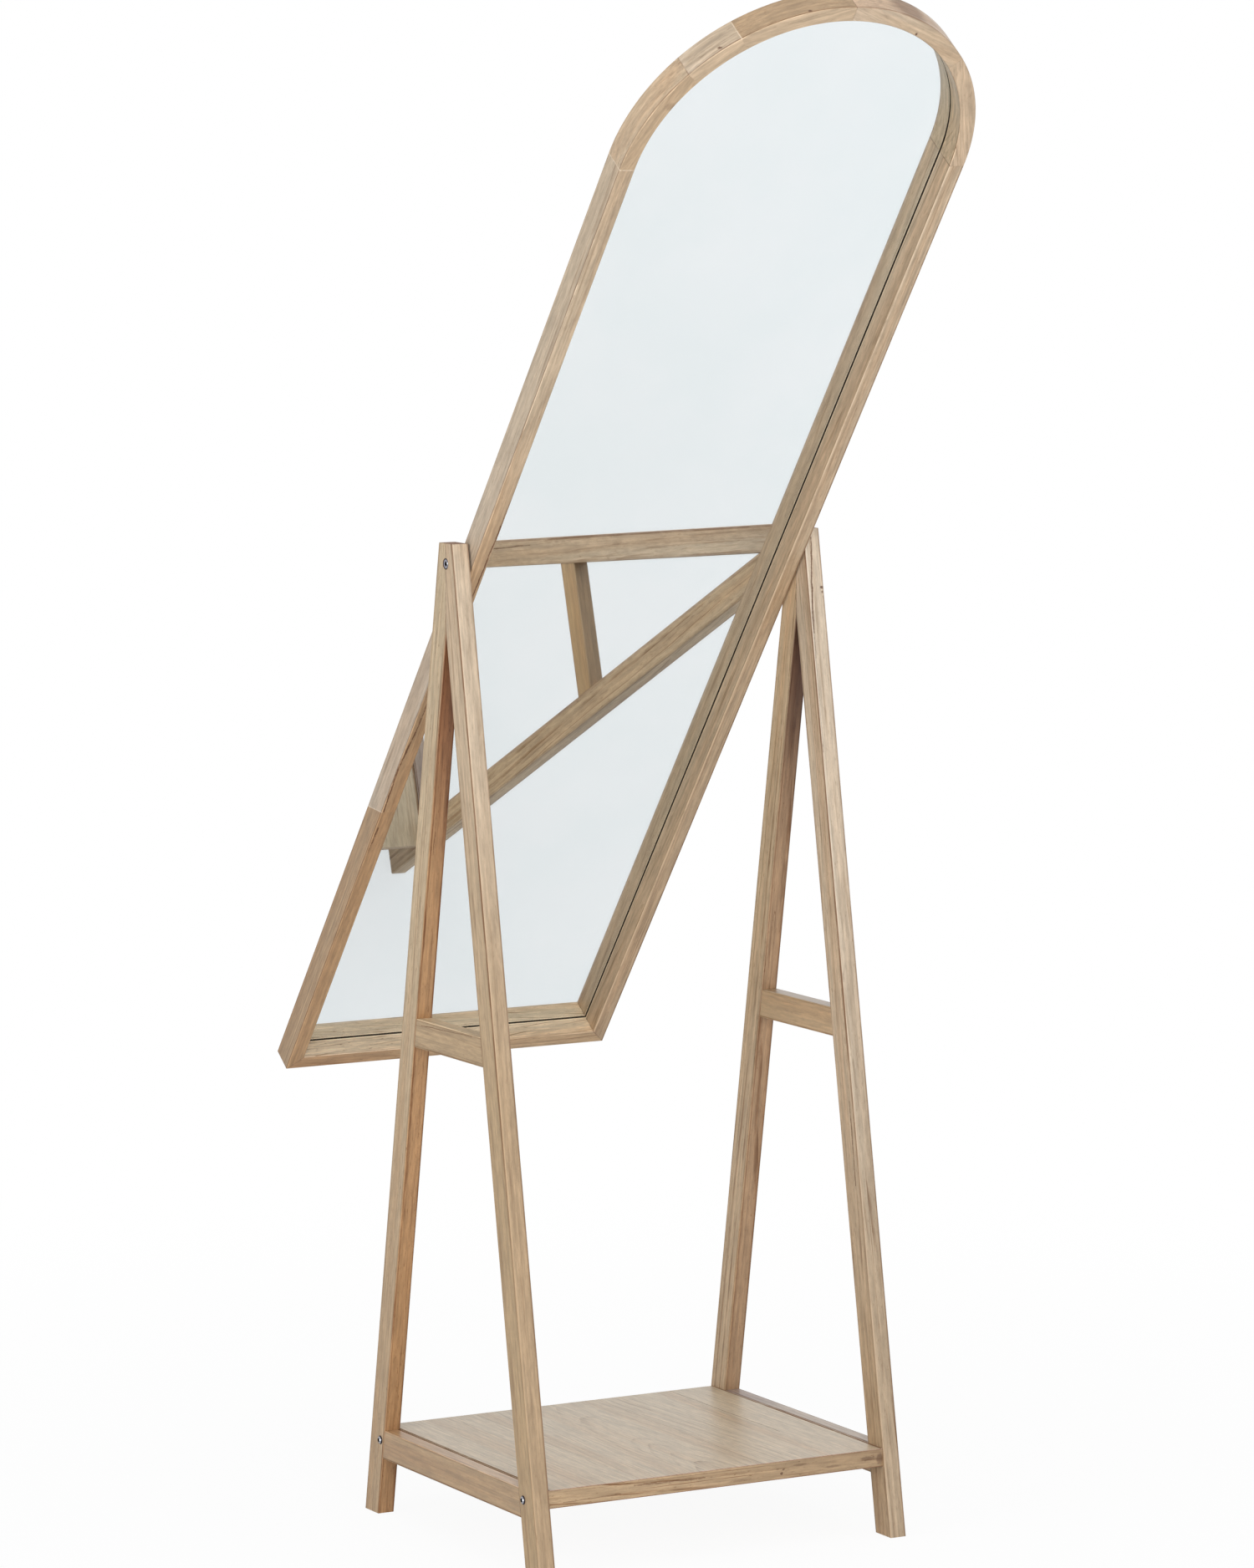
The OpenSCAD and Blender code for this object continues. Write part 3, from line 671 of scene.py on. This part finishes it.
dress("shelf_front_lipping", wood(
    "wood_front_lipping", "shelf_front_lipping", RIGHT, BACK, (0, -0.185, SHELF_MIDDLE), 7.7,
    [(EVERY, srgb(181, 152, 118), srgb(167, 139, 107))], span=(-0.15, 0.2), contrast=1.0,
    knots=spots(on_lipping,
                (0.0799, 0.0832, 0.0024, 0.002, 0.85),
                (0.0821, 0.0876, 0.002, 0.0016, 0.7),
                (0.0745, 0.0885, 0.0026, 0.0012, 0.5),
                (0.1883, 0.0878, 0.012, 0.0035, 0.5),
                (0.205, 0.086, 0.006, 0.008, 0.6),
                (0.1033, 0.0905, 0.012, 0.002, 0.4),
                (0.145, 0.084, 0.012, 0.0018, 0.4),
                (0.03, 0.0815, 0.02, 0.0016, 0.3)),
    streaks=[(on_lipping(-0.1033, 0.0911), on_lipping(-0.0164, 0.0895), 0.0014, 0.6),
             (on_lipping(-0.19, 0.0822), on_lipping(-0.12, 0.0832), 0.0009, 0.5),
             (on_lipping(-0.208, 0.0962), on_lipping(0.208, 0.0962), 0.0006, 0.4)]))
dress("shelf_back_lipping", wood("wood_back_lipping", "shelf_back_lipping", RIGHT, BACK,
                                 (0, 0.182, SHELF_MIDDLE), 9.2, [even(EVERY, 184, 158, 128)]))


# Mirror frame: grain along each piece, and straight through each block of the arch
def outward(angle):
    """Away from the arch's centre."""
    a = math.radians(angle)
    return RIGHT * math.cos(a) + UP * math.sin(a)


def round_arch(angle):
    """Along the arch, at an angle."""
    a = math.radians(angle)
    return UP * math.cos(a) - RIGHT * math.sin(a)


def on_arch(angle):
    return on_mirror(0, SPRING, 0) + outward(angle) * FRAME_R


# Each joint of the arch shows on the faces where the two pieces differ most
ARCH_LINES = {
    0: [(LEFT, 0.6, DARK), (OUT, 0.2, DARK)],
    43: [(OUT, 0.15, DARK)],
    90: [(outward(90), 0.45, DARK), (OUT, 0.3, DARK)],
    126: [(outward(126), 0.5, CREAM)],
    144: [(outward(144), 0.45, DARK)],
    180: [(OUT, 0.7, CREAM), (LEFT, 0.5, CREAM)],
}


def arch_seams(angle):
    return [(on_arch(angle), round_arch(angle), *line) for line in ARCH_LINES[angle]]


def mitre(side):
    """The glue line in a lower corner of the frame."""
    return on_mirror(side * FRAME_R, FOOT, 0), UP + RIGHT * side, None, 0.5, DARK


LEFT_MITRE = mitre(-1)
RIGHT_MITRE = mitre(1)
SCARF = (on_mirror(-FRAME_R, FOOT + SCARF_UP, FRAME_MIDDLE), UP * FRAME_T - OUT * SCARF_RISE, LEFT, 0.45, CREAM)
STILE_FRONT = (OUT, srgb(178, 142, 104), srgb(190, 168, 141))
CRACK_LINE = [on_mirror(*place) for place in (
    (-0.2052, -0.4127, 0.0177),
    (-0.204, -0.3753, 0.019),
    (-0.2059, -0.2791, 0.0186),
    (-0.2015, -0.2314, 0.0192),
    (-0.1929, -0.0178, 0.019),
    (-0.1906, 0.0678, 0.019),
    (-0.189, 0.1581, 0.0178),
)]


def frame_piece(node, grain, side, origin, number, tones, seams, rabbet=0.7, inner=RIGHT,
                rims=(0.7, 0.0, 0.0, 0.0), arris=(0.85, 0.2), highlight_breaks=(0.45, 0.55), **look):
    dress(node, wood("wood_" + node, node, grain, side, origin, number, tones, seams=seams, face=OUT,
                     rabbet=rabbet, inner=inner, rims=rims, arris=arris, highlight_breaks=highlight_breaks, **look))


frame_piece("left_stile_upper", UP, RIGHT, on_mirror(FACE - FRAME_R, 0, 0), 10.1, [
    (EVERY, srgb(184, 165, 143), srgb(181, 161, 136)),
    STILE_FRONT,
], [*arch_seams(180), SCARF], span=(-0.2, 0.4), pith=(0, 0.05, -0.03), highlight_breaks=(0.48, 0.6),
    streaks=line_through(CRACK_LINE[1:],
                         (0.0014, 0.9), (0.0017, 0.9), (0.0013, 0.8), (0.0014, 0.9), (0.001, 0.7)))
frame_piece("left_stile_lower", UP, RIGHT, on_mirror(FACE - FRAME_R, -0.5, 0), 11.6, [
    even(EVERY, 164, 136, 104),
    even(OUT, 178, 142, 104),
], [LEFT_MITRE, SCARF], pith=(0, -0.03, 0.04), contrast=0.5, arris=(0.3, 0.2),
    streaks=line_through(CRACK_LINE[:2], (0.0016, 0.8)))
frame_piece("right_stile", UP, RIGHT, on_mirror(FRAME_R - FACE, 0, 0), 12.8, [
    (EVERY, srgb(204, 179, 147), srgb(208, 185, 156)),
    (OUT, srgb(182, 155, 124), srgb(190, 168, 141)),
], [RIGHT_MITRE, *arch_seams(0)], span=(-0.3, 0.5), pith=(0, -0.05, -0.02), contrast=0.5, rabbet=1.0,
    # On its front face: a painted highlight line by the left edge and a painted shadow line by the right edge,
    # where it passes the legs
    rims=(0.3, 0.0, -0.6, 0.7), arris=(0.95, 0.6), highlight_breaks=(0.3, 0.5), inner=LEFT)
frame_piece("bottom_rail", RIGHT, UP, on_mirror(0, FOOT + FACE, 0), 13.4, [
    even(EVERY, 196, 170, 138),
    (OUT, srgb(177, 140, 102), srgb(188, 162, 129)),
    # The face that looks up towards the arch is painted pale: painted light from above and from the mirror
    (UP, srgb(246, 221, 187), srgb(240, 215, 180)),
], [LEFT_MITRE, RIGHT_MITRE], span=(-0.2, 0.2), pith=(0, 0.02, 0.02), slope=(0, 0.05, 0.07), contrast=0.8,
    rabbet=1.0, rims=(0.4, 0.0, 0.0, 0.0), arris=(0.9, 0.3), highlight_breaks=(0.35, 0.55), inner=UP)

BLOCK_TONES = {
    "arch_right_foot": [(EVERY, srgb(205, 180, 147), srgb(219, 199, 173)), even(OUT, 195, 169, 140)],
    "arch_right_crown": [(EVERY, srgb(202, 184, 166), srgb(194, 171, 147), (-0.03, 0.03)),
                         (OUT, srgb(192, 170, 143), srgb(198, 178, 154))],
    "arch_left_crown": [even(EVERY, 167, 140, 109), even(OUT, 188, 163, 134)],
    "arch_left_shoulder": [(EVERY, srgb(177, 157, 133), srgb(192, 172, 148), (-0.025, 0.005)),
                           even(OUT, 187, 162, 133)],
    "arch_left_foot": [even(EVERY, 186, 163, 135), even(OUT, 184, 157, 126)],
}
BLOCK_STAINS_AND_SHADE = {
    # The broad patch on the crown's outer face is painted shade; the small one is a knot
    "arch_right_crown": [(on_arch(69), (0.032, 0.032, 0.032), 0.55, outward(70)),
                         (on_mirror(0.0826, 0.7222, 0.019), (0.002, 0.003, 0.002), 0.9)],
    "arch_left_crown": [(on_mirror(-0.052, 0.7493, 0.0156), (0.003, 0.0025, 0.002), 0.9)],
    "arch_left_shoulder": [(on_mirror(-0.1397, 0.7016, 0.0136), (0.0035, 0.003, 0.002), 0.9)],
    "arch_left_foot": [(on_mirror(-0.1741, 0.6307, 0.019), (0.01, 0.01, 0.006), 0.3)],
}
for k, (node, (start, end)) in enumerate(ARCH.items()):
    middle = (start + end) / 2
    frame_piece(node, round_arch(middle), outward(middle), on_arch(middle), 14.7 + 1.3 * k, BLOCK_TONES[node],
                [*arch_seams(start), *arch_seams(end)], span=(-0.05, 0.06), pith=(0, 0.05 - 0.02 * k, 0.03),
                inner=-outward(middle), knots=BLOCK_STAINS_AND_SHADE.get(node, ()))

# Dowels and splines
beech = wood("wood_dowel", None, TOP, RIGHT, (0, 0, 0), 21.0, [even(EVERY, 224, 194, 150)])
for node in ("apex_dowels", "crossbar_dowels", "rail_dowels", "frame_dowels", "corner_splines"):
    dress(node, beech)


# Metal, board and plastic
def paint_head(t, place, colour, y, z, socket, head):
    """A painted shadow in the socket and round the rim of a bolt's head, and a painted glint on its face beside
    the socket.
    """
    def away(line_y, line_z):
        return t.length(t.vec("MULTIPLY", t.vec("SUBTRACT", place, (0, line_y, line_z)), (0, 1, 1)))

    radius = away(y, z)
    hole = t.ramp(radius, socket, socket * 0.8, 0.0, 1.0)
    rim = t.times(t.ramp(radius, head * 0.74, head * 0.84), t.ramp(radius, head * 1.1, head * 1.02))
    colour = t.mix(t.math("MAXIMUM", hole, rim), colour, SOCKET_SHADE)
    glint = t.ramp(away(y - head * 0.58, z + head * 0.12), head * 0.3, head * 0.12, 0.0, 1.0)
    return t.mix(glint, colour, GLINT)


def plain(name, colour, rough, metallic, scale, depth, vary, heads=()):
    """A material with fine changes of colour, roughness and height. scale is per metre, depth in metres.
    heads are bolts along X, each a place (y, z) and the radii of its socket and its head."""
    material, t, bsdf = new_material(name)
    place = t.node("ShaderNodeTexCoord").outputs["Object"]
    fine = t.noise(place, (scale, scale, scale), 3, 0.6)
    slow = t.noise(place, (60, 60, 60), 2, 0.5)
    cloud = t.plus(t.times(fine, 0.6), t.times(slow, 0.4))
    colour = t.tint(colour, t.ramp(cloud, 0.35, 0.65, 1 - vary, 1 + vary * 0.5))
    for head in heads:
        colour = paint_head(t, place, colour, *head)
    t.put(bsdf.inputs["Base Color"], colour)
    t.put(bsdf.inputs["Roughness"], t.ramp(fine, 0.3, 0.7, rough * 0.8, rough * 1.2))
    t.put(bsdf.inputs["Normal"], t.bump(fine, 0.3, depth))
    bsdf.inputs["Metallic"].default_value = metallic
    return material


def metal(name, colour, rough, heads=()):
    return plain(name, colour, rough, 1.0, 900, 0.00003, 0.12, heads)


def head_places(node, socket):
    """Place and radii of each bolt's socket and head, from the piece itself. The bolts of a piece lie in the
    middle plane, or before and behind it."""
    clear = 0.05
    bolts = {}
    for v in NODES[node].data.vertices:
        row = (v.co.y > clear) - (v.co.y < -clear)
        bolts.setdefault(row, []).append(v.co)
    places = []
    for bolt in bolts.values():
        ys, zs = [c.y for c in bolt], [c.z for c in bolt]
        places.append(((min(ys) + max(ys)) / 2, (min(zs) + max(zs)) / 2, socket, (max(ys) - min(ys)) / 2))
    return places


SHELF_SOCKET_R = 0.0024
PIVOT_SOCKET_R = 0.003
dress("backing_tabs", metal("zinc_plated_steel", srgb(196, 198, 202), 0.3))
dress("shelf_bolts", metal("steel_shelf_bolt", srgb(160, 159, 165), 0.25,
                           head_places("shelf_bolts", SHELF_SOCKET_R)))
dress("pivot_bolts", metal("steel_pivot_bolt", srgb(150, 147, 156), 0.25,
                           head_places("pivot_bolts", PIVOT_SOCKET_R)))
brass = metal("brass", srgb(190, 160, 96), 0.35)
for node in ("shelf_inserts", "pivot_inserts"):
    dress(node, brass)
dress("backing_board", plain("fibreboard", srgb(138, 104, 74), 0.75, 0.0, 1300, 0.00015, 0.2))
dress("pivot_washers", plain("nylon", srgb(222, 218, 206), 0.5, 0.0, 700, 0.00005, 0.05))


# Glass and silvering
def add(name, data):
    """A new object in the scene."""
    o = bpy.data.objects.new(name, data)
    bpy.context.scene.collection.objects.link(o)
    return o


def arched_outline(half, foot):
    """The outline of an arched sheet of a half width, from its right foot round to its left."""
    steps = 96
    turns = [math.pi * k / steps for k in range(steps + 1)]
    arc = [(half * math.cos(a), SPRING + half * math.sin(a)) for a in turns]
    return [(half, foot), *arc, (-half, foot)]


def pane(name, half, foot, front, back, arris, material):
    """A flat arched sheet in the mirror's place, with ground edges."""
    bm = bmesh.new()
    rings = []
    for inset, n in ((arris, front), (0, front - arris), (0, back + arris), (arris, back)):
        outline = arched_outline(half - inset, foot + inset)
        rings.append([bm.verts.new(on_mirror(u, v, n)) for u, v in outline])
    for near, far in zip(rings, rings[1:]):
        for corners in zip(near, near[1:] + near[:1], far[1:] + far[:1], far):
            bm.faces.new(corners)
    bm.faces.new(rings[0])
    bm.faces.new(rings[-1][::-1])
    bmesh.ops.recalc_face_normals(bm, faces=bm.faces)
    mesh = bpy.data.meshes.new(name)
    bm.to_mesh(mesh)
    bm.free()
    mesh.materials.append(material)
    return add(name, mesh)


def make_glass():
    """Clear glass with a faint haze of smudges."""
    material, t, bsdf = new_material("float_glass")
    smudge = t.noise(t.node("ShaderNodeTexCoord").outputs["Object"], (5, 5, 5), 4, 0.6)
    colour = t.mix(t.ramp(smudge, 0.35, 0.7), srgb(254, 255, 255), srgb(252, 254, 254))
    t.put(bsdf.inputs["Base Color"], colour)
    t.put(bsdf.inputs["Roughness"], t.ramp(smudge, 0.4, 0.8, 0.0, 0.012))
    bsdf.inputs["Transmission Weight"].default_value = 1.0
    bsdf.inputs["IOR"].default_value = 1.5
    return material


def make_silver():
    """A mirror's metal, with very faint clouds."""
    material, t, bsdf = new_material("silvering")
    cloud = t.noise(t.node("ShaderNodeTexCoord").outputs["Object"], (3, 3, 3), 3, 0.5)
    t.put(bsdf.inputs["Base Color"], t.mix(cloud, srgb(246, 246, 245), srgb(245, 245, 244)))
    bsdf.inputs["Metallic"].default_value = 1.0
    bsdf.inputs["Roughness"].default_value = 0.0
    return material


LIP_CLEAR = 0.00006  # between the lip and the glass
SILVER_T = 0.00008
SILVER_CLEAR = 0.00002  # between the glass and its silvering
SILVER_MARGIN = 0.0005  # from the glass's edge to the silvering's
GLASS_ARRIS = 0.0006
SILVER_ARRIS = 0.00003
glass = pane("glass_pane", GLASS_HALF, GLASS_FOOT, LIP_BACK - LIP_CLEAR, GLASS_BACK + SILVER_T + SILVER_CLEAR,
             GLASS_ARRIS, make_glass())
silver = pane("silvered_back", GLASS_HALF - SILVER_MARGIN, GLASS_FOOT + SILVER_MARGIN, GLASS_BACK + SILVER_T,
              GLASS_BACK, SILVER_ARRIS, make_silver())
for piece in (glass, silver):
    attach(piece, "mirror")
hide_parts("mirror_glass")


# Stage
def seen_rays(t, straight=1.0, mirrored=1.0):
    """How plain what the camera sees is, straight or in the mirror, and 0 for what lights the object."""
    path = t.node("ShaderNodeLightPath").outputs
    bent = t.math("MAXIMUM", path["Is Glossy Ray"], path["Is Transmission Ray"])
    return t.math("MAXIMUM", t.times(path["Is Camera Ray"], straight), t.times(bent, mirrored))


def blend(t, share, first, second, output):
    """Two shaders, mixed by a share, as what an output node shows."""
    n = t.node("ShaderNodeMixShader")
    for socket, value in zip(n.inputs, (share, first.outputs[0], second.outputs[0])):
        t.put(socket, value)
    t.put(t.tree.nodes[output].inputs["Surface"], n.outputs[0])


def make_floor_white():
    """Plain white to the eye, but for a share of matt white near the object, which takes its shadow."""
    material, t, bsdf = new_material("floor_white")
    t.tree.nodes.remove(bsdf)
    matt = t.node("ShaderNodeBsdfDiffuse")
    matt.inputs["Color"].default_value = (0.9, 0.9, 0.9, 1)
    white = t.node("ShaderNodeEmission")
    direct = t.node("ShaderNodeLightPath").outputs["Is Camera Ray"]
    t.put(white.inputs["Color"], t.mix(direct, srgb(249, 252, 255), (1, 1, 1, 1)))
    away = t.length(t.node("ShaderNodeTexCoord").outputs["Object"])
    plainness = seen_rays(t, t.ramp(away, 0.3, 2.2, 0.93, 1.0), t.ramp(away, 0.5, 1.5, 0.73, 1.0))
    blend(t, plainness, matt, white, "Material Output")
    return material


FLOOR_HALF = 14.0
corners = [(x * FLOOR_HALF, y * FLOOR_HALF, 0) for x, y in ((-1, -1), (1, -1), (1, 1), (-1, 1))]
floor_mesh = bpy.data.meshes.new("floor")
floor_mesh.from_pydata(corners, [], [(0, 1, 2, 3)])
floor_mesh.materials.append(make_floor_white())
floor = add("floor", floor_mesh)
floor.location.z = -0.0002  # just under the feet


# World, light and camera
def make_world():
    """A cool even light for the object, and plain white for what the camera sees."""
    world = bpy.data.worlds.new("studio")
    world.use_nodes = True
    t = Tree(world.node_tree)
    light = world.node_tree.nodes["Background"]
    light.inputs["Color"].default_value = (0.96, 0.98, 1.0, 1)
    light.inputs["Strength"].default_value = 0.605
    clean = t.node("ShaderNodeBackground")
    clean.inputs["Color"].default_value = (1, 1, 1, 1)
    clean.inputs["Strength"].default_value = 1.0
    blend(t, seen_rays(t), light, clean, "World Output")
    return world


def softbox(name, place, aim, size, power, colour=(1, 1, 1)):
    light = bpy.data.lights.new(name, "AREA")
    light.shape = "RECTANGLE"
    light.size, light.size_y = size
    light.energy = power
    light.color = colour
    o = add(name, light)
    o.location = place
    o.rotation_euler = (Vector(aim) - Vector(place)).to_track_quat("-Z", "Y").to_euler()
    o.visible_glossy = False
    o.visible_transmission = False


bpy.context.scene.world = make_world()
softbox("key", (-1.2, -3.3, 1.8), (0, 0, 0.9), (2.2, 2.2), 58, (1.0, 0.985, 0.955))
softbox("top", (0.3, -1.0, 3.6), (0, -0.1, 0.4), (2.4, 2.0), 16)
softbox("fill", (-3.6, -0.6, 1.6), (0, 0, 0.8), (2.0, 2.6), 36, (0.97, 0.985, 1.0))

# The camera's place, its turns in radians and its focal length come from a fit of the photo's straight edges
EYE = (-3.354493, -6.024924, 1.634033)
PAN = 0.50727064
PITCH = -0.11692290
ROLL = -0.00173434
FOCAL_PX = 7592.054
PHOTO_W_PX = 1500.0
SENSOR_W = 36.0  # in millimetres
lens = bpy.data.cameras.new("camera")
lens.sensor_width = SENSOR_W
lens.sensor_fit = "HORIZONTAL"
lens.lens = SENSOR_W * FOCAL_PX / PHOTO_W_PX
lens.clip_end = 100.0
camera = add("camera", lens)
camera.location = EYE
level = Matrix.Rotation(-PAN, 3, "Z") @ Matrix.Rotation(math.pi / 2 + PITCH, 3, "X")
camera.rotation_euler = (level @ Matrix.Rotation(ROLL, 3, "Z")).to_euler()
bpy.context.scene.camera = camera
bpy.context.scene.view_settings.view_transform = "Standard"

bpy.context.view_layer.update()
